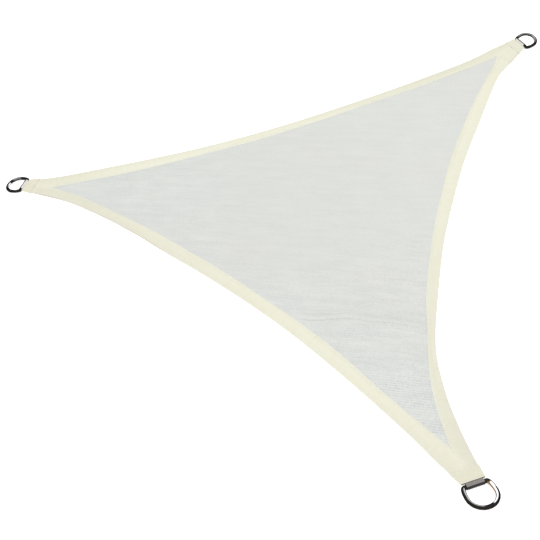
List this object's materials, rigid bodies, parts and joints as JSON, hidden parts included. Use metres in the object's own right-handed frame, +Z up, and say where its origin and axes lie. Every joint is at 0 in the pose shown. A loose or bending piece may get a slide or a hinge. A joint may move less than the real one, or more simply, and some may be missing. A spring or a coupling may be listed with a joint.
{
  "type": "triangular shade sail",
  "caption": "Triangular shade sail: a light grey knitted panel with inward curving sides, cream edge bindings and a steel D ring in a webbing loop at every corner, laid out flat.",
  "frame": {"origin": "middle of the bounding box, at the floor that the sail lies on", "axes": "+Z up out of the floor, the sail's top side; +X from the left corner to the far corner; +Y from the near corner towards the back edge"},
  "size_m": [2.1322, 1.8622, 0.0226],
  "materials": {
    "knit": "knitted, matt",
    "binding": "woven, matt",
    "pocket": "woven, matt",
    "loop_light": "webbing",
    "loop_dark": "webbing",
    "steel": "polished"
  },
  "bodies": {
    "root": {"knit_panel": "knit", "binding_back": "binding", "binding_right": "binding", "binding_front": "binding", "pocket_left": "pocket", "pocket_far": "pocket", "pocket_near": "pocket", "loop_left": "loop_light", "loop_far": "loop_light", "loop_near": "loop_dark", "ring_left": "steel", "ring_far": "steel", "ring_near": "steel"}
  },
  "joints": []
}
